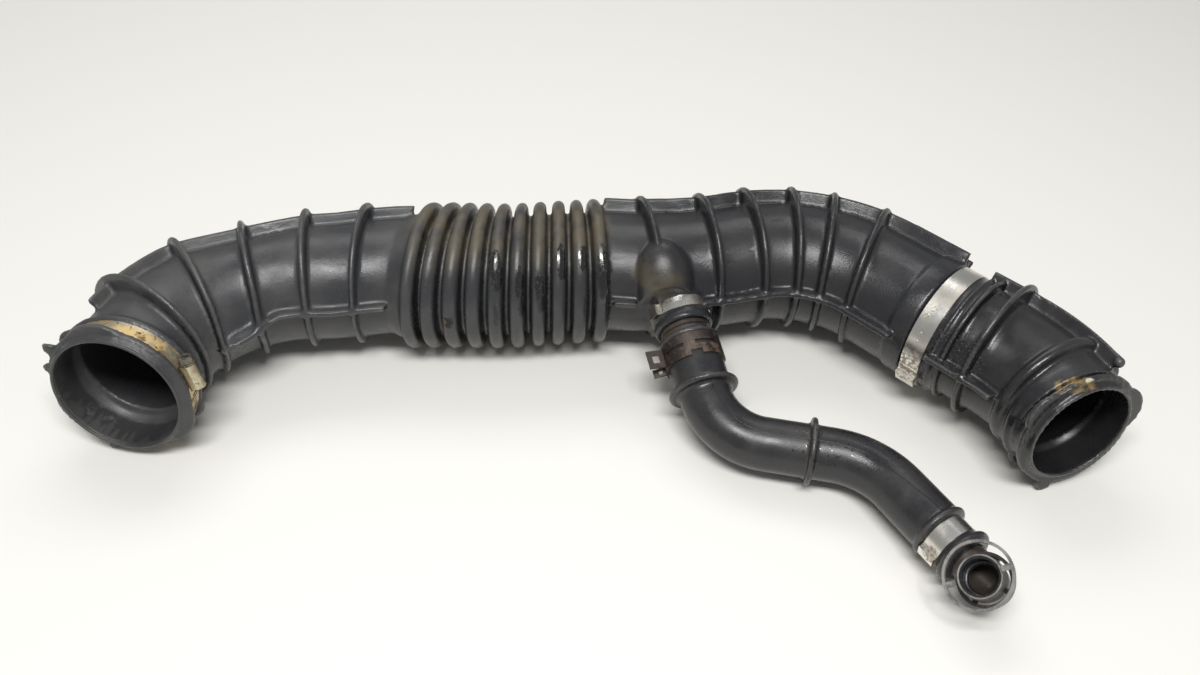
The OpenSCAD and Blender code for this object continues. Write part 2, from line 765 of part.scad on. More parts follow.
module hose_bend2() {
    translate(hose_p3 + hose_bend2_r * [sin(hose_mid_heading), -cos(hose_mid_heading), 0])
        rotate([0, 0, hose_mid_heading + 90 - hose_turn2])
        rotate_extrude(angle = hose_turn2) translate([hose_bend2_r, 0]) children();
}

// Cut through a rounded bead round +Z, centred on z, with outer radius r and width w.
module bead_cut(r, w, z) {
    translate([0, z - w / 2]) square([r - w / 2, w]);
    translate([r - w / 2, z]) circle(r = w / 2, $fn = 24);
}

cuff_lip_w = 2.6;
first_bead = 35;
mid_ring_at = 27;
ring_w = 3.6;
end_bead_at = hose_end_len - 22;
end_seat_len = 13;
end_lip_w = 6.5;
stem_r = hose_seat_r - 2.8;

module hose_outer() {
    on_branch(hose_start) rotate_extrude() {
        polygon([[0, 0], [hose_cuff_r + 1, 0], [hose_cuff_r + 1.5, 0.5], [hose_cuff_r + 1.5, cuff_lip_w],
                 [hose_cuff_r, cuff_lip_w + 0.3], [hose_cuff_r, hose_cuff_len - 3.2],
                 [hose_r, hose_cuff_len - 0.4], [hose_r, hose_cuff_len + reach], [0, hose_cuff_len + reach]]);
        bead_cut(hose_cuff_r + 4.4, 4, first_bead);
    }
    hose_bend1() circle(r = hose_r - slim);
    level(hose_p2, hose_mid_heading) rotate_extrude() {
        translate([0, -reach]) square([hose_r, hose_mid_len + 2 * reach]);
        bead_cut(hose_r + 4.3, ring_w, mid_ring_at);
    }
    hose_bend2() circle(r = hose_r - slim);
    level(hose_p4, hose_end_heading) rotate_extrude() {
        translate([0, -reach]) square([hose_r, end_bead_at + reach]);
        bead_cut(hose_r + 1.8, 4, end_bead_at);
        square([hose_seat_r, hose_end_len]);
        bead_cut(hose_r + 1.4, end_lip_w, hose_end_len - end_lip_w / 2);
    }
}

module hose_void() {
    bore = hose_r - hose_wall;
    on_branch(hose_start) rotate_extrude()
        polygon([[0, -1], [cuff_bore_r, -1], [cuff_bore_r, hose_cuff_len - 3], [bore, hose_cuff_len - 1],
                 [bore, hose_cuff_len + reach], [0, hose_cuff_len + reach]]);
    hose_bend1() circle(r = bore - slim);
    level(hose_p2, hose_mid_heading) translate([0, 0, -reach])
        cylinder(r = bore, h = hose_mid_len + 2 * reach);
    hose_bend2() circle(r = bore - slim);
    level(hose_p4, hose_end_heading) rotate_extrude()
        polygon([[0, -reach], [bore, -reach], [bore, end_bead_at - 4], [stem_r, end_bead_at],
                 [stem_r, hose_end_len + 1], [0, hose_end_len + 1]]);
}

module breather_hose() {
    color(rubber) difference() {
        hose_outer();
        hose_void();
    }
}

// Spring band clamp on the hose cuff, with slots and two tangs.
spring_start = hose_start + cuff_lip_w + 0.8;

module tang(a, h, w, z, window) {
    rotate(a) translate([hose_cuff_r + fit, -spring_band_t / 2, z]) difference() {
        cube([h, spring_band_t, w]);
        translate([h * 0.35, -1, w * 0.28]) cube([window, spring_band_t + 2, w * 0.44]);
    }
}

module spring_clamp() {
    color(rust_brown) on_branch(spring_start) {
        difference() {
            band(hose_cuff_r + fit, spring_band_w, spring_band_t);
            for (a = [52, 118, -28]) rotate(a) rotate_extrude(angle = 44, $fn = 96)
                translate([hose_cuff_r - 1, spring_band_w * 0.38]) square([5, 2.6]);
            rotate(86) rotate_extrude(angle = 22, $fn = 96)
                translate([hose_cuff_r - 1, spring_band_w - 3]) square([5, 4]);
        }
        tang(176, 11.5, spring_band_w - 3, 0.6, 4.4);
        tang(196, 9, 5.5, spring_band_w - 5.6, 2.2);
    }
}

module hose_end_clamp() {
    color(steel) level(hose_p4, hose_end_heading)
        translate([0, 0, end_bead_at + 2.6]) {
            band(hose_seat_r + fit, end_band_w);
            ear(hose_seat_r + fit, 186, end_band_w, 6, 2.8);
        }
}

// End fitting: +Z of the children leaves the mouth and +X points on along the hose.
corner = hose_end + corner_reach * hose_dir3;

module on_fitting(z = 0) {
    translate(corner) rotate([0, 0, hose_end_heading]) rotate([mouth_roll, 0, 0])
        translate([0, 0, z]) children();
}

stem_len = end_seat_len + end_lip_w + 2;
seal_z = mouth_reach - 7.5;
seal_round = 1.4;
collar_r = 15;
collar_z = 2;
collar_h = 5;
ring_z = mouth_reach + 1.1;
ring_h = 3.4;

module quick_connector() {
    color(plastic_brown) difference() {
        union() {
            on_fitting() {
                sphere(r = fitting_r);
                cylinder(r = fitting_r, h = mouth_reach - 2);
                translate([0, 0, seal_z - 4.2]) cylinder(r = mouth_r, h = mouth_reach - seal_z + 4.2);
                rotate([0, -90, 0]) cylinder(r = fitting_r, h = corner_reach - 0.6);
                rotate([0, -90, 0]) cylinder(r = stem_r - fit, h = corner_reach + stem_len);
                translate([0, 0, collar_z]) difference() {
                    cylinder(r = collar_r, h = collar_h);
                    translate([0, 0, -1]) cylinder(r = collar_r - 1.8, h = collar_h + 2);
                }
                for (a = [0, 90, 180, 270]) rotate(a + 20) translate([fitting_r - 1, -1.6, collar_z])
                    cube([collar_r - fitting_r + 0.2, 3.2, 3]);
            }
        }
        on_fitting() {
            sphere(r = fitting_bore_r);
            cylinder(r = fitting_bore_r, h = mouth_reach);
            rotate([0, -90, 0]) cylinder(r = fitting_bore_r, h = corner_reach + stem_len + 1);
            translate([0, 0, seal_z - 2.6]) cylinder(r = mouth_bore_r, h = mouth_reach);
        }
    }
}

// Seal ring on the ledge inside the mouth, held by a pressed retainer.
module fitting_seal() {
    color("#1d1d1f") on_fitting(seal_z - 2.5 + seal_round) rotate_extrude()
        translate([mouth_bore_r - seal_round - 0.05, 0]) circle(r = seal_round, $fn = 32);
}

module seal_retainer() {
    color(steel) on_fitting(seal_z - 2.4 + 2 * seal_round) difference() {
        cylinder(r = mouth_bore_r - 0.05, h = mouth_reach - seal_z + 2.4 - 2 * seal_round - 0.2);
        translate([0, 0, -1]) cylinder(r = mouth_bore_r - 1.1, h = mouth_reach);
    }
}

// Release ring over the mouth: one leg stands against the collar and a tab lies over the rim.
module release_ring() {
    color(steel) on_fitting() {
        translate([0, 0, ring_z]) difference() {
            cylinder(r = release_r, h = ring_h, $fn = 96);
            translate([0, 0, -1]) cylinder(r = release_r - 1.8, h = ring_h + 2, $fn = 96);
        }
        translate([collar_r + fit, -3.5, collar_z + 1]) difference() {
            cube([release_r - collar_r - fit - 0.3, 7, ring_z - collar_z - 0.5]);
            translate([-1, -1, 3]) cube([2, 9, ring_z]);
        }
        translate([1.3 - release_r, -3, ring_z - 0.7])
            cube([release_r - mouth_r - 0.2, 6, 1.5]);
    }
}

main_duct();
outlet_elbow();
joint_sleeve();
joint_clamp();
inlet_clamp_band();
inlet_clamp_housing();
inlet_clamp_screw();
branch_clamp();
branch_nozzle();
spring_clamp();
breather_hose();
hose_end_clamp();
quick_connector();
fitting_seal();
seal_retainer();
release_ring();
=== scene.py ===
# %% [markdown]
# # A rubber intake duct, step by step
# The duct comes from an engine bay: moulded black rubber with a bellows, a ribbed bend,
# an outlet elbow, a breather hose and several clamps. Its solids are already packed as a
# frame, which is loaded here and then gets its looks. Everything is in metres and sits in
# that one frame.

# %% Load the frame
import bpy, bmesh, json, math
import numpy as np
from mathutils import Matrix, Vector
from mathutils.bvhtree import BVHTree


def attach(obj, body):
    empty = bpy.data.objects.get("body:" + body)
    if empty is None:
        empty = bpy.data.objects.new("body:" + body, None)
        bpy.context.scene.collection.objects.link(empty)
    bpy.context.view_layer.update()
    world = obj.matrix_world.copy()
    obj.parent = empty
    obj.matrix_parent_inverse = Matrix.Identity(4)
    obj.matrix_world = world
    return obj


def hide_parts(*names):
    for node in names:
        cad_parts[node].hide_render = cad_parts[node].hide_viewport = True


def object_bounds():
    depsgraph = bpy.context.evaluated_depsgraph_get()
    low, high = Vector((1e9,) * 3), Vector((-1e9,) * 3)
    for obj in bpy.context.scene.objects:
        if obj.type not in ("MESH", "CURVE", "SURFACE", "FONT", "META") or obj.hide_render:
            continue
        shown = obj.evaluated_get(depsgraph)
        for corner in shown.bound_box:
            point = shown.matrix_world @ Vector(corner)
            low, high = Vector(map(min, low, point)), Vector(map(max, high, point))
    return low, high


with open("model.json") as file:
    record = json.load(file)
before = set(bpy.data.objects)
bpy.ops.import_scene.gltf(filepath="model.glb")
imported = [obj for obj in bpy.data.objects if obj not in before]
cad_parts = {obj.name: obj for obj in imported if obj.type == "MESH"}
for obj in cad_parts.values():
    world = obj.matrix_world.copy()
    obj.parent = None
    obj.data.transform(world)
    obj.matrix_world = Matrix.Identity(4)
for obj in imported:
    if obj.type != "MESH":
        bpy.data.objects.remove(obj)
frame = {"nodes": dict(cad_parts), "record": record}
cad_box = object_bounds()
NODES = frame["nodes"]
MOUNTS = {mount["name"]: mount for mount in frame["record"]["mounts"]}
print("nodes:", ", ".join(sorted(NODES)))
print("size in mm:", [round(1000 * (high - low)) for low, high in zip(*cad_box)])

# %% [markdown]
# ## The view
# The photograph looks down at the floor from a standing height. The tiles gave the lens and
# the tilt, so the camera is set from those numbers and never moved by eye. Its heading is
# counted from +X, its pitch from level, and its roll about the line of sight.

# %% Camera
CAMERA_AT = Vector((0.22173, -0.45752, 0.48295))
HEADING, PITCH, ROLL = math.radians(83.379), math.radians(44.259), math.radians(2.792)
FOCAL_LENGTH, SENSOR_WIDTH, NEAREST = 34.05, 36, 0.01

camera = bpy.data.objects.new("camera", bpy.data.cameras.new("camera"))
bpy.context.collection.objects.link(camera)
camera.data.lens = FOCAL_LENGTH
camera.data.sensor_width = SENSOR_WIDTH
camera.data.clip_start = NEAREST
turn = (Matrix.Rotation(HEADING - math.pi / 2, 4, "Z")
        @ Matrix.Rotation(math.pi / 2 - PITCH, 4, "X")
        @ Matrix.Rotation(ROLL, 4, "Z"))
camera.matrix_world = Matrix.Translation(CAMERA_AT) @ turn
bpy.context.scene.camera = camera
print("camera height over the floor:", round(CAMERA_AT.z - cad_box[0][2], 3))

# %% [markdown]
# ## The floor
# The real duct lies on tiles. A backdrop that curves up would hide the horizon, but the
# camera looks down and never sees one, so a plain pale sheet under the lowest point of the
# part is enough. It is a little darker than white, so that it doesn't clip under the lamps
# and keeps the shadow of the part.

# %% Floor
FLOOR_HALF_WIDTH, FLOOR_MIDDLE_X = 4.0, 0.25
FLOOR_COLOUR, FLOOR_ROUGHNESS = (0.78, 0.765, 0.72, 1), 0.6

def mesh_from(bm, name, smooth=True):
    """The mesh that a bmesh has made; the bmesh is freed."""
    mesh = bpy.data.meshes.new(name)
    for face in bm.faces:
        face.smooth = smooth
    bm.to_mesh(mesh)
    bm.free()
    return mesh

def link_mesh(name, mesh):
    """A new object at the origin that shows a mesh."""
    piece = bpy.data.objects.new(name, mesh)
    bpy.context.collection.objects.link(piece)
    return piece

bm = bmesh.new()
bmesh.ops.create_grid(bm, x_segments=1, y_segments=1, size=FLOOR_HALF_WIDTH)
bmesh.ops.translate(bm, verts=bm.verts, vec=(FLOOR_MIDDLE_X, 0, cad_box[0][2]))
floor = link_mesh("floor", mesh_from(bm, "floor", smooth=False))
floor_paint = bpy.data.materials.new("floor_paint")
floor_paint.use_nodes = True
paint = floor_paint.node_tree.nodes["Principled BSDF"]
paint.inputs["Base Color"].default_value = FLOOR_COLOUR
paint.inputs["Roughness"].default_value = FLOOR_ROUGHNESS
floor.data.materials.append(floor_paint)
print("floor at z =", round(cad_box[0][2], 4))

# %% [markdown]
# ## The light
# In the photograph a window behind the camera gives the front of every crest a long
# highlight. A point lamp would give dots and a sun hard shadows, so the window is a wide area
# lamp high up, and a weaker one behind the part lifts the backs of the ribs. A dim even
# world fills the shadows.

# %% Lamps and world
SKY_COLOUR, SKY_STRENGTH = (0.97, 0.985, 1.0, 1), 0.3

def soft_lamp(name, at, aim, size, watts):
    """A rectangular lamp at one point that shines towards another."""
    lamp = bpy.data.objects.new(name, bpy.data.lights.new(name, "AREA"))
    bpy.context.collection.objects.link(lamp)
    lamp.data.shape = "RECTANGLE"
    lamp.data.size, lamp.data.size_y = size
    lamp.data.energy = watts
    at, aim = Vector(at), Vector(aim)
    turn = (aim - at).to_track_quat("-Z", "Y").to_matrix().to_4x4()
    lamp.matrix_world = Matrix.Translation(at) @ turn
    return lamp

lamps = [soft_lamp("window", (0.2, -0.6, 1.4), (0.28, 0.05, 0), (0.95, 0.3), 24),
         soft_lamp("back_window", (0.15, 1.0, 1.3), (0.3, 0.05, 0), (1.5, 0.6), 7)]
world = bpy.data.worlds.new("world")
bpy.context.scene.world = world
world.use_nodes = True
sky = world.node_tree.nodes["Background"]
sky.inputs["Color"].default_value = SKY_COLOUR
sky.inputs["Strength"].default_value = SKY_STRENGTH
bpy.context.scene.view_settings.view_transform = "Standard"
print("lamps:", {lamp.name: lamp.data.energy for lamp in lamps})

# %% [markdown]
# ## Where the skin bends
# The edges of the ribs are painted paler, partly as wear from handling and partly as a painted
# highlight, and dust stays in the hollows between them. A material could find edges with a
# bevel or pointiness node, but those are slow, or work in one render engine only. So the bend
# of the skin is measured once, from how the normals turn along each edge of the mesh, and
# stored on its points, where any material can read it.

# %% Relief attribute
SHARPEST_BEND, BLUR_PASSES = 1.5, 3

def mark_relief(mesh):
    """Store how sharply the skin bends, in 1/mm: above 0 on edges, below 0 in hollows."""
    count = len(mesh.vertices)
    place, normal = np.empty(count * 3), np.empty(count * 3)
    mesh.vertices.foreach_get("co", place)
    mesh.vertices.foreach_get("normal", normal)
    place, normal = place.reshape(-1, 3), normal.reshape(-1, 3)
    ends = np.empty(len(mesh.edges) * 2, dtype=np.int64)
    mesh.edges.foreach_get("vertices", ends)
    a, b = ends.reshape(-1, 2).T
    step = place[b] - place[a]
    square = np.maximum((step ** 2).sum(1), 1e-10)
    bend_a = -2 * (normal[a] * step).sum(1) / square
    bend_b = 2 * (normal[b] * step).sum(1) / square
    met = np.maximum(np.bincount(a, minlength=count) + np.bincount(b, minlength=count), 1)
    bend = (np.bincount(a, bend_a, count) + np.bincount(b, bend_b, count)) / met
    bend = np.clip(bend / 1000, -SHARPEST_BEND, SHARPEST_BEND)
    for _ in range(BLUR_PASSES):
        near = np.bincount(a, bend[b], count) + np.bincount(b, bend[a], count)
        bend = 0.5 * bend + 0.5 * near / met
    layer = mesh.attributes.new("relief", "FLOAT", "POINT")
    layer.data.foreach_set("value", bend.astype(np.float32))
    return bend

# %% [markdown]
# ## Where the skin is shut in
# The inside of the bores and the deep gaps of the bellows are darkened with painted shade, as
# little light reaches in. Painting them by place would miss the bends. Instead each point looks
# along its own normal: where the skin faces itself close by, the point is marked as shut in, less
# so from farther away.

# %% Enclosed attribute
LOOK_FAR, LOOK_FROM, FADE_WITH_DISTANCE = 0.085, 0.0004, 0.4

def skin_tree(mesh):
    """A search tree over the faces of a mesh."""
    return BVHTree.FromPolygons([v.co for v in mesh.vertices],
                                [p.vertices for p in mesh.polygons])

def mark_enclosed(mesh):
    """Store 1 where the skin faces itself close by: in a bore, or deep between two crests."""
    tree = skin_tree(mesh)
    shut = np.zeros(len(mesh.vertices), dtype=np.float32)
    for vert in mesh.vertices:
        start = vert.co + vert.normal * LOOK_FROM
        distance = tree.ray_cast(start, vert.normal, LOOK_FAR)[3]
        if distance is not None:
            shut[vert.index] = 1.0 - FADE_WITH_DISTANCE * distance / LOOK_FAR
    layer = mesh.attributes.new("enclosed", "FLOAT", "POINT")
    layer.data.foreach_set("value", shut)
    return shut

# %% [markdown]
# ## Moulded rubber
# The duct, the elbow and the hose are moulded: no edge on them is sharp, ribs run into the
# tube with small fillets, and the bellows sags into a slight fan. The solids have the sizes
# but crisp edges, and a bevel on such crossing ribs breaks. So each rubber solid is copied,
# its skin is made even with a voxel remesh, which closes every corner, and smoothing melts
# the edges as a mould does. Between the two the points can be moved as clay is.

# %% Soft copies
def mm(*values):
    """A place or size that is given in millimetres."""
    return Vector([value / 1000 for value in values])

def finished(piece):
    """The mesh of a piece with its modifiers applied, as its own new data."""
    bpy.context.view_layer.update()
    depsgraph = bpy.context.evaluated_depsgraph_get()
    mesh = bpy.data.meshes.new_from_object(piece.evaluated_get(depsgraph))
    piece.modifiers.clear()
    old = piece.data
    piece.data = mesh
    bpy.data.meshes.remove(old)
    mesh.name = piece.name
    return mesh

def move_points(mesh, reshape):
    """Let a function move the points of a mesh, which it gets in millimetres."""
    place = np.empty(len(mesh.vertices) * 3)
    mesh.vertices.foreach_get("co", place)
    place = place.reshape(-1, 3) * 1000
    reshape(place)
    mesh.vertices.foreach_set("co", (place / 1000).ravel())
    mesh.update()

def soft_copy(node, name, voxel, triangles, reshape=None, additions=(), passes=3):
    """A moulded copy of a solid, joined with some additions, which takes the solid's place."""
    bm = bmesh.new()
    bm.from_mesh(NODES[node].data)
    bmesh.ops.remove_doubles(bm, verts=bm.verts, dist=1e-6)
    for extra in additions:
        bm.from_mesh(extra)
    piece = link_mesh(name, mesh_from(bm, name))
    skin = piece.modifiers.new("even_skin", "REMESH")
    skin.mode = "VOXEL"
    skin.voxel_size = voxel
    melt = piece.modifiers.new("melt_edges", "SMOOTH")
    melt.factor = 0.5
    melt.iterations = passes
    mesh = finished(piece)
    if reshape:
        move_points(mesh, reshape)
    share = triangles / (2 * len(mesh.polygons))
    if share < 1:
        piece.modifiers.new("thin_out", "DECIMATE").ratio = share
        mesh = finished(piece)
    mesh.shade_smooth()
    bend, shut = mark_relief(mesh), mark_enclosed(mesh)
    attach(piece, "root")
    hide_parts(node)
    print(name, "vertices", len(mesh.vertices), "shut in", round(float(shut.mean()), 2),
          "bends", [round(float(v), 2) for v in np.percentile(bend, (2, 50, 98))])
    return piece

# %% [markdown]
# ## The shape of the duct
# In the photograph the bellows is bent a little: its crests stand closer together behind
# than in front, and the left ones lean. A lattice would bend its neighbours too. A bend is a
# turn that grows and fades along the axis, so each slice of the bellows is sheared by its
# own small amount. The left arm is drawn in by three soft grabs, as in sculpting, and the
# torn hole on the third crest is pushed in.

# %% Bend, grab and tear
BELLOWS_Y, BEHIND_BRANCH = 93.7, 30
FAN = [(118, 0.0), (160, -0.24), (184, -0.25), (196, -0.2), (214, -0.14), (238, -0.07),
       (263, -0.04), (281, 0.02), (305, 0.0)]
SAG = [(118, 0.0), (150, 3.0), (180, 3.0), (225, 0.0), (260, 2.0), (281, 3.0), (305, 0.0)]
GRABS = [((55, 118, 20), 55, (3, -6, -2)),
         ((100, 135, 20), 50, (0, -3, -1)),
         ((66, 42, 10), 24, (0.5, -5.5, -6))]
HOLE_AT, HOLE_RADIUS, HOLE_DEPTH = (187, 53.5, 1.5), 5.4, 8.0
HOLE_STRETCH, HOLE_RAGGED = (1.0, 1.0, 0.75), 0.7

def fall(place, centre, radius):
    """1 at the centre, fading softly to 0 at the radius."""
    away = ((place - np.array(centre)) ** 2).sum(1) / radius ** 2
    return np.clip(1 - away, 0, 1) ** 2

def shape_duct(place):
    x = place[:, 0].copy()
    behind = place[:, 1] > BEHIND_BRANCH
    lean = np.interp(x, *zip(*FAN))
    sag = np.interp(x, *zip(*SAG))
    place[:, 0] -= np.where(behind, lean * (place[:, 1] - BELLOWS_Y), 0)
    place[:, 1] += np.where(behind, sag, 0)
    for centre, radius, shift in GRABS:
        place += fall(place, centre, radius)[:, None] * np.array(shift)
    ripple = np.sin(9 * place[:, 0]) * np.cos(7 * place[:, 2])
    torn = fall(place * np.array(HOLE_STRETCH), HOLE_AT, HOLE_RADIUS + HOLE_RAGGED * ripple)
    place[:, 1] += HOLE_DEPTH * torn

# %% [markdown]
# ## The near web of the left arm
# A thin web runs along the side of the left arm and on to the inlet cuff. The solid's web
# stops short. The missing length is a flat section swept along a few points, and it is handed
# to the remesh, which grows it into the rubber without a seam.

# %% Sweep a section along a row of points
def frame_at(at, along, up):
    """A local frame: Z runs along, Y points up off the surface."""
    z = along.normalized()
    y = (up - up.dot(z) * z).normalized()
    x = y.cross(z)
    return Matrix.Translation(at) @ Matrix((x, y, z)).transposed().to_4x4()

def through(points, steps):
    """A smooth row of points through the given ones."""
    ends = [2 * points[0] - points[1], *points, 2 * points[-1] - points[-2]]
    row = []
    for a, b, c, d in zip(ends, ends[1:], ends[2:], ends[3:]):
        for step in range(steps):
            t = step / steps
            row.append(0.5 * (2 * b + (c - a) * t + (2 * a - 5 * b + 4 * c - d) * t * t
                              + (3 * b - a - 3 * c + d) * t ** 3))
    return row + [points[-1]]

def sweep(bm, loop, frames):
    """Extrude a closed loop of vertices through a row of frames, and close both ends."""
    bmesh.ops.transform(bm, matrix=frames[0], verts=loop)
    edges = list({edge for vert in loop for edge in vert.link_edges})
    for before, after in zip(frames, frames[1:]):
        made = bmesh.ops.extrude_edge_only(bm, edges=edges)["geom"]
        moved = [item for item in made if isinstance(item, bmesh.types.BMVert)]
        edges = [item for item in made if isinstance(item, bmesh.types.BMEdge)
                 and all(vert in moved for vert in item.verts)]
        bmesh.ops.transform(bm, matrix=after @ before.inverted(), verts=moved)
    bmesh.ops.holes_fill(bm, edges=bm.edges, sides=0)
    bmesh.ops.recalc_face_normals(bm, faces=bm.faces)

# %% Near web
WEB_ROUTE = [(80, 48.2, 11.2), (74, 45.7, 11), (63, 39.5, 10.6), (56.6, 31.6, 4.2),
             (55.4, 30, 2.4)]
WEB_SECTION = [(-1.2, -10), (1.2, -10), (1.0, 0), (-1.0, 0)]
WEB_OUTWARDS = mm(750, -660, 0).normalized()

def near_web():
    """The fin that carries the near web on to the cuff, for the remesh to take in."""
    row = through([mm(*point) for point in WEB_ROUTE], 4)
    frames = [frame_at(p, b - a, WEB_OUTWARDS) for p, a, b in zip(row[:-1], row, row[1:])]
    bm = bmesh.new()
    loop = [bm.verts.new(mm(x, y, 0)) for x, y in WEB_SECTION]
    for start, end in zip(loop, loop[1:] + loop[:1]):
        bm.edges.new((start, end))
    sweep(bm, loop, frames)
    return mesh_from(bm, "near_web")

web = near_web()
print("near web:", len(web.vertices), "vertices")

# %% [markdown]
# ## The swelling under the branch
# The breather branch grows out of a smooth swelling on the duct. Revolving it would leave a
# seam on the curved tube. It is a squashed sphere, leaned with the branch and cut off just
# behind the clamp, so that the clamp's seat keeps the solid's own size.

# %% Branch dome
DOME_RADII = mm(18.5, 17, 28)
DOME_AT, DOME_UP, DOME_OUT = mm(321, 64.6, 15.5), mm(-100, 469, 883), mm(0, -883, 469)
CLAMP_AT, BRANCH_ALONG, BEHIND_CLAMP = mm(329.7, 54.2, -1.9), mm(40, -960, -277), 0.0046

def branch_dome():
    """A squashed sphere, cut off behind the clamp."""
    bm = bmesh.new()
    bmesh.ops.create_uvsphere(bm, u_segments=40, v_segments=20, radius=1)
    bmesh.ops.scale(bm, verts=bm.verts, vec=DOME_RADII)
    bmesh.ops.transform(bm, verts=bm.verts, matrix=frame_at(DOME_AT, DOME_UP, DOME_OUT))
    cut = bmesh.ops.bisect_plane(
        bm, geom=bm.verts[:] + bm.edges[:] + bm.faces[:], clear_outer=True,
        plane_co=CLAMP_AT - BEHIND_CLAMP * BRANCH_ALONG.normalized(),
        plane_no=BRANCH_ALONG)["geom_cut"]
    rim = [item for item in cut if isinstance(item, bmesh.types.BMEdge)]
    bmesh.ops.holes_fill(bm, edges=rim)
    return mesh_from(bm, "branch_dome")

dome = branch_dome()
print("branch dome:", len(dome.vertices), "vertices")

# %% [markdown]
# ## The three rubber pieces
# The ribs are 2 to 3 mm thick, so the duct gets voxels of 1.3 mm, and the elbow and the hose,
# which are seen closer, 1 mm. Smaller voxels would show no more and cost much more time. Each
# mesh is then thinned, most on flat skin and least on edges.

# %% Duct, elbow and hose
duct = soft_copy("main_duct", "duct_skin", 0.0013, 190000, shape_duct, [web, dome])
elbow = soft_copy("outlet_elbow", "elbow_skin", 0.001, 190000)
hose = soft_copy("breather_hose", "hose_skin", 0.001, 130000, passes=2)

# %% [markdown]
# ## Shader groups
# Several finishes share the same effects, so each effect is a node group that is built once:
# the dusty film on rubber, and a ragged spot that marks where a stain or a wet patch lies.
# A group puts out only colours, masks and values, and the shader stays in each material.

# %% Helpers for node trees
FLOAT, COLOUR, VECTOR = "NodeSocketFloat", "NodeSocketColor", "NodeSocketVector"

def node(tree, kind, values=None, **props):
    """A new node with some properties and some socket values set."""
    made = tree.nodes.new(kind)
    for name, value in props.items():
        setattr(made, name, value)
    for name, value in (values or {}).items():
        made.inputs[name].default_value = value
    return made

def feed(tree, value, socket):
    """Wire an output to a socket, or set the socket to a number or a colour."""
    if isinstance(value, bpy.types.NodeSocket):
        tree.links.new(value, socket)
    elif isinstance(value, tuple):
        socket.default_value = (*value, 1)[:4]
    else:
        socket.default_value = value

def object_place(tree):
    return node(tree, "ShaderNodeTexCoord").outputs["Object"]

def attribute(tree, name):
    return node(tree, "ShaderNodeAttribute", attribute_name=name).outputs["Fac"]

def new_group(name, inputs, outputs):
    """A shader group with its sockets: its tree, what it is given, and what it puts out."""
    tree = bpy.data.node_groups.new(name, "ShaderNodeTree")
    for label, kind, default in inputs:
        socket = tree.interface.new_socket(label, in_out="INPUT", socket_type=kind)
        socket.default_value = default
    for label, kind in outputs:
        tree.interface.new_socket(label, in_out="OUTPUT", socket_type=kind)
    given = tree.nodes.new("NodeGroupInput").outputs
    return tree, given, tree.nodes.new("NodeGroupOutput").inputs

# %% Helpers for noise and sums
def noise(tree, coords, scale, detail=4.0, rough=0.55):
    made = node(tree, "ShaderNodeTexNoise", {"Detail": detail, "Roughness": rough})
    feed(tree, coords, made.inputs["Vector"])
    feed(tree, scale, made.inputs["Scale"])
    return made.outputs["Fac"]

def ramp(tree, value, low, high, to_low=0.0, to_high=1.0):
    """A soft step from one value to another as the input goes from low to high."""
    made = node(tree, "ShaderNodeMapRange", {"From Min": low, "From Max": high,
                                            "To Min": to_low, "To Max": to_high})
    made.interpolation_type = "SMOOTHSTEP"
    feed(tree, value, made.inputs["Value"])
    return made.outputs["Result"]

def sum_node(tree, operation, a, b, clamp=False):
    made = node(tree, "ShaderNodeMath", operation=operation, use_clamp=clamp)
    feed(tree, a, made.inputs[0])
    feed(tree, b, made.inputs[1])
    return made.outputs[0]

def times(tree, a, b):
    return sum_node(tree, "MULTIPLY", a, b)

def plus(tree, a, b, clamp=False):
    return sum_node(tree, "ADD", a, b, clamp)

def mix_colour(tree, factor, a, b):
    made = node(tree, "ShaderNodeMix", data_type="RGBA")
    for number, value in ((0, factor), (6, a), (7, b)):
        feed(tree, value, made.inputs[number])
    return made.outputs[2]

def mix_value(tree, factor, a, b):
    made = node(tree, "ShaderNodeMix", data_type="FLOAT")
    for number, value in ((0, factor), (2, a), (3, b)):
        feed(tree, value, made.inputs[number])
    return made.outputs[0]

# %% [markdown]
# ## The dusty film
# Old rubber under a bonnet is black with a thin grey film. The film lies in clouds, more on
# upward faces and in hollows, and in single specks. Edges are made paler, partly as rubbed wear
# and partly as a painted highlight, and the skin that is shut in is darkened as painted shade.
# Each of these is its own mask from noise, the normal or the stored attributes, because one
# noise for all would look like marble. Scales are in cells per metre.

# %% Dusty rubber group
CLOUDS, BLOTCHES, SPECKS, GRAIN = 22, 75, 700, 1400
# The second black is painted shade, for skin that is shut in, in bores and deep between crests.
DEEP_BLACK, PAINTED_SHADE_BLACK = (0.02, 0.02, 0.022), (0.006, 0.006, 0.006)

tree, given, result = new_group(
    "dusty_rubber",
    [("Rubber", COLOUR, (0.04, 0.041, 0.046, 1)), ("Dust", COLOUR, (0.16, 0.145, 0.12, 1)),
     ("Worn_and_lit", COLOUR, (0.16, 0.15, 0.14, 1)), ("Dustiness", FLOAT, 0.3), ("Edge_paleness", FLOAT, 0.5),
     ("Gloss", FLOAT, 0.38)],
    [("Colour", COLOUR), ("Roughness", FLOAT), ("Height", FLOAT)])
rubber_group = tree
place = object_place(tree)
clouds, blotches = noise(tree, place, CLOUDS, 5, 0.6), noise(tree, place, BLOTCHES, 4, 0.6)
specks, grain = noise(tree, place, SPECKS, 2, 0.5), noise(tree, place, GRAIN, 3, 0.6)
relief, enclosed = attribute(tree, "relief"), attribute(tree, "enclosed")

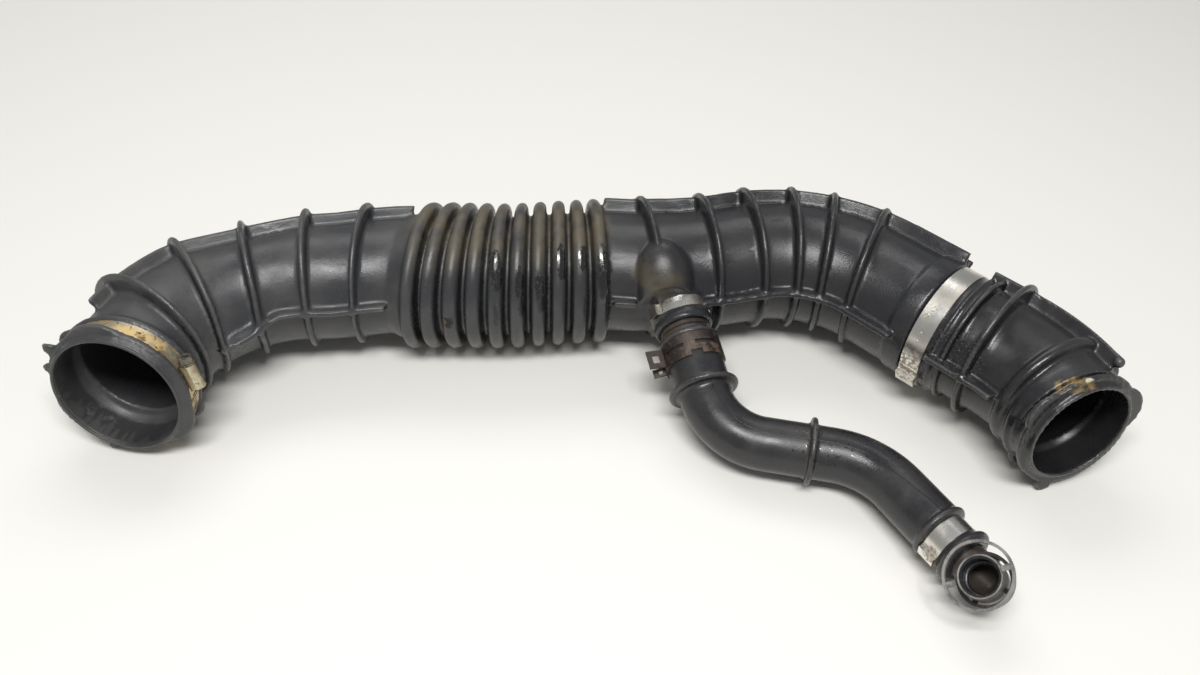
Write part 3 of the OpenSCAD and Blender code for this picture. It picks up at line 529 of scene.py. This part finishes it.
# Edges that are rubbed and given a painted highlight, hollows that hold dust, and faces that look
# up.
edge = times(tree, ramp(tree, relief, 0.1, 0.42), ramp(tree, blotches, 0.3, 0.62, 0.25, 1.0))
edge = times(tree, edge, given["Edge_paleness"])
hollow = ramp(tree, times(tree, relief, -1.0), 0.06, 0.4)
facing = node(tree, "ShaderNodeSeparateXYZ")
feed(tree, node(tree, "ShaderNodeNewGeometry").outputs["Normal"], facing.inputs[0])
upward = ramp(tree, facing.outputs["Z"], -0.5, 0.9, 0.3, 1.0)

# The film itself, which thins out where the skin is shut in, so that these places stay darker as
# painted shade.
film = plus(tree, ramp(tree, clouds, 0.36, 0.68), times(tree, hollow, 0.6))
dust = times(tree, times(tree, film, upward), given["Dustiness"])
spotted = times(tree, ramp(tree, specks, 0.62, 0.72), given["Dustiness"])
dust = plus(tree, dust, times(tree, spotted, 0.5), clamp=True)
dust = times(tree, dust, ramp(tree, enclosed, 0.3, 0.9, 1.0, 0.35))

# Colour, roughness and height.
black = mix_colour(tree, ramp(tree, blotches, 0.35, 0.7, 0.0, 0.35), given["Rubber"], DEEP_BLACK)
dusted_and_shaded = mix_colour(tree, dust, black, given["Dust"])
# Painted shade: skin that is shut in, in bores and deep between crests, is darkened towards black.
dusted_and_shaded = mix_colour(tree, ramp(tree, enclosed, 0.5, 0.95, 0.0, 0.75), dusted_and_shaded, PAINTED_SHADE_BLACK)
# Painted highlight, partly real wear: the edges are mixed towards a pale grey.
feed(tree, mix_colour(tree, edge, dusted_and_shaded, given["Worn_and_lit"]), result["Colour"])
rough = plus(tree, given["Gloss"], times(tree, dust, 0.45))
rough = plus(tree, rough, ramp(tree, blotches, 0.3, 0.7, -0.06, 0.08), clamp=True)
feed(tree, rough, result["Roughness"])
bumpy = plus(tree, grain, times(tree, specks, 0.6))
feed(tree, plus(tree, bumpy, times(tree, blotches, 0.4)), result["Height"])
print("dusty_rubber:", len(tree.nodes), "nodes")

# %% [markdown]
# ## The ragged spot
# Oil, rust and dried residue lie in patches that end raggedly. A patch could be painted on an
# image, but these finishes have none. The group measures how far a point is from a centre, as
# a share of the patch's size in each direction, and noise pushes that edge in and out.

# %% Ragged spot group
def vector_node(tree, operation, *values):
    made = node(tree, "ShaderNodeVectorMath", operation=operation)
    for socket, value in zip(made.inputs, values):
        feed(tree, value, socket)
    return made.outputs

tree, given, result = new_group(
    "ragged_spot",
    [("Centre", VECTOR, (0, 0, 0)), ("Size", VECTOR, (0.01, 0.01, 0.01)),
     ("Ragged", FLOAT, 0.5), ("Scale", FLOAT, 250.0)],
    [("Mask", FLOAT)])
spot_group = tree
place = object_place(tree)
off = vector_node(tree, "SUBTRACT", place, given["Centre"])[0]
shares = vector_node(tree, "DIVIDE", off, given["Size"])[0]
reach = vector_node(tree, "LENGTH", shares)["Value"]
swing = sum_node(tree, "SUBTRACT", noise(tree, place, given["Scale"], 4.0, 0.6), 0.5)
swing = times(tree, times(tree, swing, 3.0), given["Ragged"])
feed(tree, ramp(tree, plus(tree, reach, swing), 0.75, 1.1, 1.0, 0.0), result["Mask"])
print("ragged_spot:", len(tree.nodes), "nodes")

# %% [markdown]
# ## Finishes in layers
# A finish starts as a dusty film over black rubber, or as bare metal. It is then laid over
# with layers, each with a mask, a colour and a roughness, as paint is laid in glazes. Writing
# every material out node by node would hide that order, so a small class keeps it.

# %% A finish in layers
SOCKETS = {"rough": "Roughness", "wet": "Coat Weight", "metal": "Metallic"}
# The pale grey of the rib edges is partly wear and partly a painted highlight.
WORN_AND_LIT_GREY, WET_COAT_ROUGHNESS = (0.15, 0.14, 0.13), 0.06

class Finish:
    """One material whose colour, roughness, metal and wet coat are built up in layers."""
    def __init__(self, name, metallic=0.0):
        self.material = bpy.data.materials.new(name)
        self.material.use_nodes = True
        self.tree = self.material.node_tree
        self.shader = self.tree.nodes["Principled BSDF"]
        self.shader.inputs["Metallic"].default_value = metallic
        self.place = object_place(self.tree)
        self.colour = None
        self.values = {"rough": 0.0, "wet": 0.0, "metal": metallic}

    def start_rubber(self, rubber, dust, dustiness, gloss, pale_edge_amount=0.5, bump=0.25):
        film = node(self.tree, "ShaderNodeGroup", node_tree=rubber_group)
        for label, value in (("Rubber", rubber), ("Dust", dust), ("Worn_and_lit", WORN_AND_LIT_GREY),
                             ("Dustiness", dustiness), ("Edge_paleness", pale_edge_amount), ("Gloss", gloss)):
            feed(self.tree, value, film.inputs[label])
        self.colour, self.values["rough"] = film.outputs["Colour"], film.outputs["Roughness"]
        self.bump(film.outputs["Height"], bump, 0.0004)

    def start_metal(self, pale, dark, smooth, dull, scale=90.0):
        smudge = noise(self.tree, self.place, scale, 6, 0.65)
        scratches = noise(self.tree, self.place, scale * 9, 3, 0.6)
        self.colour = mix_colour(self.tree, ramp(self.tree, smudge, 0.35, 0.65), pale, dark)
        self.values["rough"] = ramp(self.tree, smudge, 0.3, 0.7, smooth, dull)
        self.bump(scratches, 0.15, 0.0002)

    def bump(self, height, strength, distance):
        bumps = node(self.tree, "ShaderNodeBump", {"Strength": strength, "Distance": distance})
        feed(self.tree, height, bumps.inputs["Height"])
        feed(self.tree, bumps.outputs["Normal"], self.shader.inputs["Normal"])

    def times(self, mask, other):
        return times(self.tree, mask, other)

    def cloud(self, scale, low, high, detail=5):
        """A mask from noise, 0 below low and 1 above high."""
        return ramp(self.tree, noise(self.tree, self.place, scale, detail, 0.6), low, high)

    def axis(self, letter, low, high):
        """A mask that rises from one place to another along an axis, in millimetres."""
        apart = node(self.tree, "ShaderNodeSeparateXYZ")
        feed(self.tree, self.place, apart.inputs[0])
        return ramp(self.tree, apart.outputs[letter], low / 1000, high / 1000)

    def spot(self, centre, size, ragged=0.5, scale=250.0):
        """A ragged patch, with its centre and half widths in millimetres."""
        made = node(self.tree, "ShaderNodeGroup", node_tree=spot_group)
        made.inputs["Centre"].default_value = mm(*centre)
        made.inputs["Size"].default_value = mm(*size)
        made.inputs["Ragged"].default_value = ragged
        made.inputs["Scale"].default_value = scale
        return made.outputs["Mask"]

    def any_of(self, masks):
        whole = masks[0]
        for mask in masks[1:]:
            whole = sum_node(self.tree, "MAXIMUM", whole, mask)
        return whole

    def lay(self, mask, colour=None, **values):
        """Lay a colour and new values over what is there, where the mask is 1."""
        if colour is not None:
            self.colour = mix_colour(self.tree, mask, self.colour, colour)
        for name, value in values.items():
            self.values[name] = mix_value(self.tree, mask, self.values[name], value)

    def done(self):
        feed(self.tree, self.colour, self.shader.inputs["Base Color"])
        for name, value in self.values.items():
            if isinstance(value, bpy.types.NodeSocket):
                feed(self.tree, value, self.shader.inputs[SOCKETS[name]])
                if name == "wet":
                    self.shader.inputs["Coat Roughness"].default_value = WET_COAT_ROUGHNESS
        print(self.material.name, "has", len(self.tree.nodes), "nodes")
        return self.material

# %% [markdown]
# ## Rubber of the duct
# The left arm is grey with dust, and the right arm, past the bellows, is blacker and
# shinier. Tan dust clings to the top and the bottom of the bellows and to the branch. A split
# into two materials would show a line, so one material changes along X.

# %% Rubber of the duct
RUBBER, RUBBER_DUST, CLEAN_BLACK = (0.036, 0.037, 0.04), (0.1, 0.096, 0.088), (0.012, 0.012, 0.014)
TAN = (0.13, 0.105, 0.06)

finish = Finish("duct_rubber")
finish.start_rubber(RUBBER, RUBBER_DUST, dustiness=0.4, gloss=0.3, pale_edge_amount=0.45)
right = finish.axis("X", 200, 330)
finish.lay(finish.times(right, 0.65), CLEAN_BLACK)
finish.lay(finish.times(right, 0.6), rough=0.24)
on_bellows = finish.times(finish.axis("X", 163, 168), finish.axis("X", 292, 287))
high = finish.times(finish.axis("Z", 26, 46), finish.cloud(60, 0.3, 0.6))
low = finish.times(finish.axis("Z", -18, -40), finish.cloud(60, 0.3, 0.6))
tan_dust = finish.times(on_bellows, finish.any_of([high, low]))
finish.lay(finish.times(tan_dust, 0.6), TAN, rough=0.6)
saddle = finish.spot((316, 64, 24), (17, 20, 16), 0.5, 70)
tan_film = finish.times(finish.cloud(55, 0.25, 0.75, 3), 0.45)
finish.lay(finish.times(saddle, tan_film), TAN, rough=0.5)

# %% [markdown]
# ## Oil, the torn hole and scuffs
# Wet oil has run down the front of some crests and dried at their lower ends. Wet oil is a
# clear coat with sharp reflections over black, dry oil is only darker. The torn hole is painted
# nearly black, as painted shade for its depth, with a few brown fibres, and the inlet bore has
# pale scuffs. Each is a list of ragged spots in millimetres, because they lie where the photograph
# shows them.

# %% Oil, hole and scuffs
# The near black of the torn hole is painted shade for its inside.
OIL, HOLE_SHADE_BLACK, HOLE_FIBRE = (0.008, 0.008, 0.009), (0.003, 0.003, 0.003), (0.13, 0.08, 0.03)
SCUFF_GREY = (0.085, 0.085, 0.086)
WET_OIL = [((217, 66, 26), (4.5, 13, 19)), ((231, 57, 27), (3, 9, 13)),
           ((243, 55, 26), (3, 8, 12)), ((257, 66, 34), (3.5, 10, 12)),
           ((270, 68, 34), (3, 8, 10)), ((283, 62, 24), (5, 15, 23))]
DRY_OIL = [((216, 52, 6), (2.2, 8, 10)), ((232, 50, 12), (2.4, 7, 8)),
           ((244, 50, 14), (3, 6, 7)), ((286, 52, 6), (4, 8, 12))]

wet = finish.any_of([finish.spot(centre, size, 0.45, 240) for centre, size in WET_OIL])
finish.lay(finish.times(wet, finish.cloud(380, 0.33, 0.47, 3)), OIL, rough=0.1, wet=0.9)
dry = finish.any_of([finish.spot(centre, size, 0.6, 420) for centre, size in DRY_OIL])
finish.lay(finish.times(dry, 0.85), OIL, rough=0.3)
torn = finish.spot((187, 56, 1.8), (4.2, 9, 6.4), 0.25, 300)
# Painted shade: the hole is painted near black for the dark inside it, with brown fibres mixed in.
torn_shade_and_fibre = mix_colour(finish.tree, finish.cloud(420, 0.52, 0.66), HOLE_SHADE_BLACK, HOLE_FIBRE)
finish.lay(torn, torn_shade_and_fibre, rough=0.5)
scuffed = finish.spot((-16, 14, -29), (16, 9, 10), 0.5, 120)
finish.lay(finish.times(scuffed, finish.cloud(190, 0.48, 0.7, 6)), SCUFF_GREY, rough=0.5)
duct_rubber = finish.done()

# %% [markdown]
# ## Rubber of the elbow
# The elbow is blacker than the duct and more even. A golden residue has dried on top of its
# cuff, with one pale crumb in it, and the middle has fine scuffs. The start is the same film
# with less dust, so that both look like one family of rubber.

# %% Rubber of the elbow
RESIDUE, CRUMB, FINE_SCUFF = (0.19, 0.13, 0.05), (0.5, 0.46, 0.36), (0.12, 0.115, 0.11)

finish = Finish("elbow_rubber")
finish.start_rubber((0.014, 0.014, 0.016), (0.07, 0.066, 0.06), dustiness=0.2, gloss=0.24,
                    pale_edge_amount=0.4, bump=0.12)
residue = finish.spot((534, -49, 34), (16, 5, 6), 0.4, 160)
finish.lay(finish.times(residue, finish.cloud(150, 0.36, 0.58, 6)), RESIDUE, rough=0.3)
finish.lay(finish.spot((543, -50, 38), (3, 2, 2), 0.5, 400), CRUMB, rough=0.5)
scuffs = finish.spot((486, -3, 17), (17, 24, 16), 0.4, 90)
scuffs = finish.times(scuffs, finish.cloud(900, 0.58, 0.66, 2))
finish.lay(finish.times(scuffs, 0.6), FINE_SCUFF, rough=0.5)
elbow_rubber = finish.done()

# %% [markdown]
# ## Rubber of the hose and of the seal
# The hose is smooth and half shiny with a few oily flecks where its second bend starts, and
# the seal in the fitting is clean black rubber.

# %% Rubber of the hose and of the seal
finish = Finish("hose_rubber")
finish.start_rubber((0.017, 0.017, 0.02), (0.075, 0.068, 0.058), dustiness=0.3, gloss=0.24,
                    pale_edge_amount=0.35, bump=0.15)
flecks = finish.spot((410, -52, -8), (34, 26, 12), 0.4, 60)
flecks = finish.times(flecks, finish.cloud(520, 0.6, 0.66, 2))
finish.lay(flecks, (0.012, 0.011, 0.012), rough=0.15, wet=0.5)
hose_rubber = finish.done()

finish = Finish("seal_rubber")
finish.start_rubber((0.012, 0.012, 0.013), (0.04, 0.035, 0.03), dustiness=0.1, gloss=0.2)
seal_rubber = finish.done()

# %% [markdown]
# ## Plastics
# The fitting is dark moulded plastic with a brown oily film, and its release ring is a paler
# grey. Both gather dust as rubber does but get no pale edges, neither worn nor painted as a
# highlight, so they start from the same film with no edge paleness.

# %% Plastics
finish = Finish("fitting_plastic")
finish.start_rubber((0.026, 0.022, 0.02), (0.12, 0.1, 0.075), dustiness=0.4, gloss=0.3, pale_edge_amount=0.0)
film = finish.times(finish.cloud(240, 0.45, 0.6), 0.5)
finish.lay(film, (0.07, 0.045, 0.032), rough=0.3, wet=0.4)
fitting_plastic = finish.done()

finish = Finish("ring_plastic")
finish.start_rubber((0.24, 0.235, 0.225), (0.34, 0.31, 0.27), dustiness=0.4, gloss=0.34, pale_edge_amount=0.0)
film = finish.times(finish.cloud(180, 0.48, 0.62), 0.6)
finish.lay(film, (0.05, 0.045, 0.04), rough=0.3)
ring_plastic = finish.done()

# %% [markdown]
# ## Steel of the ear clamps
# The ear clamps are bright stainless steel, with brown marks at the ear of the joint clamp
# and on the last clamp of the hose. Rust isn't metal, so where it lies the metallic value
# comes down as well.

# %% Ear clamps
finish = Finish("clamp_steel", 1.0)
finish.start_metal((0.84, 0.82, 0.77), (0.66, 0.62, 0.54), smooth=0.2, dull=0.38, scale=60)
rusty = finish.any_of([finish.spot((465, 8, -6), (9, 9, 13), 0.5, 220),
                       finish.spot((446, -118, -24), (5, 6, 5), 0.5, 300)])
rusty = finish.times(finish.times(rusty, finish.cloud(420, 0.42, 0.58)), 0.75)
finish.lay(rusty, (0.17, 0.11, 0.06), rough=0.6, metal=0.3)
clamp_steel = finish.done()

# %% [markdown]
# ## The stained band of the inlet
# The worm drive band round the inlet is yellow with dried varnish, brown in clouds, nearly
# black next to its housing, and has black specks. Each stain is a layer of its own, from
# large to small.

# %% Stained band
finish = Finish("stained_band", 1.0)
finish.start_metal((0.66, 0.58, 0.42), (0.5, 0.4, 0.24), smooth=0.3, dull=0.5, scale=80)
varnish = finish.times(finish.spot((14, 4, 36), (26, 14, 16), 0.4, 90),
                       finish.cloud(170, 0.3, 0.55))
finish.lay(varnish, (0.62, 0.45, 0.2), rough=0.5, metal=0.25)
finish.lay(finish.cloud(150, 0.5, 0.64), (0.2, 0.12, 0.045), rough=0.6, metal=0.15)
by_housing = finish.times(finish.spot((33, 0, 26), (9, 9, 9), 0.5, 200), 0.75)
finish.lay(by_housing, (0.05, 0.032, 0.02), rough=0.5, metal=0.1)
finish.lay(finish.cloud(330, 0.6, 0.68), (0.02, 0.016, 0.012), rough=0.5, metal=0.0)
stained_band = finish.done()

# %% [markdown]
# ## The other metals
# The sleeve inside the joint is plain steel, and the worm housing yellow zinc and the screw dull
# steel, both with a few brown specks. The spring clamp is dark brown steel, orange with rust
# on its upper side.

# %% Sleeve, worm drive and spring clamp
finish = Finish("sleeve_steel", 1.0)
finish.start_metal((0.5, 0.49, 0.46), (0.36, 0.34, 0.3), smooth=0.3, dull=0.45)
sleeve_steel = finish.done()

finish = Finish("worm_zinc", 1.0)
finish.start_metal((0.62, 0.55, 0.4), (0.42, 0.36, 0.25), smooth=0.25, dull=0.42, scale=120)
finish.lay(finish.cloud(300, 0.6, 0.7), (0.1, 0.07, 0.04), rough=0.6, metal=0.3)
worm_zinc = finish.done()

finish = Finish("screw_steel", 1.0)
finish.start_metal((0.42, 0.4, 0.37), (0.25, 0.22, 0.18), smooth=0.28, dull=0.5, scale=150)
finish.lay(finish.cloud(260, 0.52, 0.64), (0.09, 0.05, 0.03), rough=0.7, metal=0.2)
screw_steel = finish.done()

finish = Finish("spring_steel", 1.0)
finish.start_metal((0.13, 0.11, 0.095), (0.075, 0.06, 0.052), smooth=0.35, dull=0.6, scale=120)
orange = finish.times(finish.spot((346, 12, 2), (16, 14, 14), 0.5, 120),
                      finish.cloud(260, 0.42, 0.56))
finish.lay(finish.times(orange, 0.7), (0.11, 0.062, 0.04), rough=0.8, metal=0.0)
finish.lay(finish.cloud(380, 0.56, 0.66), (0.07, 0.045, 0.035), rough=0.75, metal=0.1)
spring_steel = finish.done()

# %% [markdown]
# ## Finishes on the pieces
# The hard solids already have the right shape, so they stay as they are and only their
# material slots get a finish. The three soft copies get theirs in place of the solids'.

# %% Give the pieces their finish
NODE_FINISH = {
    "joint_clamp": clamp_steel, "branch_clamp": clamp_steel, "hose_end_clamp": clamp_steel,
    "inlet_clamp_band": stained_band, "inlet_clamp_housing": worm_zinc,
    "inlet_clamp_screw": screw_steel, "joint_sleeve": sleeve_steel,
    "spring_clamp": spring_steel, "branch_nozzle": fitting_plastic,
    "quick_connector": fitting_plastic, "fitting_seal": seal_rubber,
    "seal_retainer": seal_rubber, "release_ring": ring_plastic,
}
for name, material in NODE_FINISH.items():
    for slot in NODES[name].material_slots:
        slot.material = material
for piece, material in ((duct, duct_rubber), (elbow, elbow_rubber), (hose, hose_rubber)):
    piece.data.materials.clear()
    piece.data.materials.append(material)
print("finished nodes:", len(NODE_FINISH))

# %% [markdown]
# ## Moulding seam of the hose
# The hose has a fine line along its upper side, where the two halves of its mould met. Bump
# would show it in a render but not in the mesh, so it is a thin bead. Its points are
# laid on the skin with a nearest point search, and a small hexagon is swept along them.

# %% Moulding seam
SEAM_ROUTE = [(341.7, -3.1, -0.9), (346.6, -16.6, -5.7), (354.4, -28.6, -8.5),
              (366.2, -36.4, -9.9), (382.8, -41.7, -10.1), (401.7, -45.9, -9.8),
              (415.8, -50.9, -10.1), (428.8, -59.8, -10.1), (445.7, -83.3, -9.4),
              (457.9, -101.6, -7.9)]
SEAM_RADIUS, SEAM_STEPS = 0.0004, 6

def surface_bead(name, points, piece):
    """A thin bead that lies on the skin of a piece along a row of points."""
    tree = skin_tree(piece.data)
    found = [tree.find_nearest(point) for point in through(points, SEAM_STEPS)]
    row, ups = [hit[0] for hit in found], [hit[1] for hit in found]
    spots = [(a + 2 * b + c) / 4 for a, b, c in zip(row, row[1:], row[2:])]
    frames = [frame_at(p, b - a, up) for p, a, b, up in zip(spots, row, row[2:], ups[1:])]
    bm = bmesh.new()
    loop = bmesh.ops.create_circle(bm, segments=6, radius=SEAM_RADIUS)["verts"]
    sweep(bm, loop, frames)
    return link_mesh(name, mesh_from(bm, name))

seam = surface_bead("hose_seam", [mm(*point) for point in SEAM_ROUTE], hose)
seam.data.materials.append(hose_rubber)
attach(seam, "root")
print("seam vertices:", len(seam.data.vertices))

# %% [markdown]
# ## Release ring
# A thin ring stands round the mouth of the fitting on two short legs, with fine teeth round
# its outer edge for a grip. Its solid is a plain ring with the same place and legs. A circle
# of many points has every other point moved out for the teeth, and is then given its width
# and height. Cutting the teeth out one by one would take far longer for the same shape.

# %% Release ring with teeth
TEETH, TOOTH = 96, 0.00045
RING_RADIUS, RING_WIDTH, RING_HEIGHT, RING_LIFT = 0.0186, 0.0013, 0.002, 0.0018
LEG_SIZE, LEG_OUT, LEG_UP = (5.4, 3, 1.2), 15.1, 0.75

def on_mount(name, lift=0.0):
    """The frame of a mount with Z along its axis, moved along that axis."""
    axis = Vector(MOUNTS[name]["axis"])
    turn = Vector((0, 0, 1)).rotation_difference(axis).to_matrix().to_4x4()
    return Matrix.Translation(Vector(MOUNTS[name]["pos_m"]) + lift * axis) @ turn

bm = bmesh.new()
outer = bmesh.ops.create_circle(bm, segments=2 * TEETH, radius=RING_RADIUS)["verts"]
for vert in outer[1::2]:
    vert.co *= (RING_RADIUS + TOOTH) / RING_RADIUS
bmesh.ops.create_circle(bm, segments=2 * TEETH, radius=RING_RADIUS - RING_WIDTH)
bmesh.ops.bridge_loops(bm, edges=bm.edges)
made = bmesh.ops.extrude_face_region(bm, geom=bm.faces)["geom"]
top = [item for item in made if isinstance(item, bmesh.types.BMVert)]
bmesh.ops.translate(bm, verts=top, vec=(0, 0, RING_HEIGHT))
for side in (1, -1):
    leg = bmesh.ops.create_cube(bm, size=1)["verts"]
    bmesh.ops.scale(bm, verts=leg, vec=mm(*LEG_SIZE))
    bmesh.ops.translate(bm, verts=leg, vec=mm(side * LEG_OUT, 0, LEG_UP))
bmesh.ops.recalc_face_normals(bm, faces=bm.faces)
bmesh.ops.transform(bm, matrix=on_mount("connector_mouth", RING_LIFT), verts=bm.verts)
ring = link_mesh("toothed_ring", mesh_from(bm, "toothed_ring", smooth=False))
ring.data.materials.append(ring_plastic)
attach(ring, "root")
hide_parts("release_ring")
print("release ring:", TEETH, "teeth,", len(ring.data.polygons), "faces")

# %% [markdown]
# ## Rims and pressed ovals
# The mouth of the fitting has a pale rim, the lip of the inlet cuff is rounded, and two small
# ovals are pressed into the joint clamp. All are thin rings, and bmesh has no torus of its
# own: a small circle is spun round an axis, stretched, and set in its frame.

# %% Thin rings
def torus(name, place, radius, wire_radius, material, steps, stretch=(1, 1, 1)):
    """A thin ring spun from a small circle, stretched, and set in its frame."""
    bm = bmesh.new()
    small = bmesh.ops.create_circle(bm, segments=8, radius=wire_radius,
                                    matrix=Matrix.Rotation(math.pi / 2, 4, "X"))
    bmesh.ops.translate(bm, verts=small["verts"], vec=(radius, 0, 0))
    bmesh.ops.spin(bm, geom=bm.edges, cent=(0, 0, 0), axis=(0, 0, 1), angle=2 * math.pi,
                   steps=steps, use_merge=True)
    bmesh.ops.scale(bm, verts=bm.verts, vec=stretch)
    bmesh.ops.recalc_face_normals(bm, faces=bm.faces)
    bmesh.ops.transform(bm, matrix=place, verts=bm.verts)
    piece = link_mesh(name, mesh_from(bm, name))
    piece.data.materials.append(material)
    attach(piece, "root")
    print(name, "radius in mm:", round(1000 * radius, 2))
    return piece

torus("mouth_rim", on_mount("connector_mouth"), 0.01135, 0.00055, ring_plastic,
      steps=72)
torus("inlet_lip", on_mount("inlet_bore", -0.0004), 0.0377, 0.0011, duct_rubber,
      steps=120)

# %% Pressed ovals
OVALS = [(471.6, 17.0, 26.7), (476.0, 18.6, 30.7)]
ALONG_BAND = mm(1, 0, 1)

band_tree = skin_tree(NODES["joint_clamp"].data)
for count, spot in enumerate(OVALS):
    at, normal, _, _ = band_tree.find_nearest(mm(*spot))
    torus("band_oval_%d" % count, frame_at(at, normal, ALONG_BAND), 0.0014, 0.00025, worm_zinc,
          steps=28, stretch=(0.8, 1.25, 1))
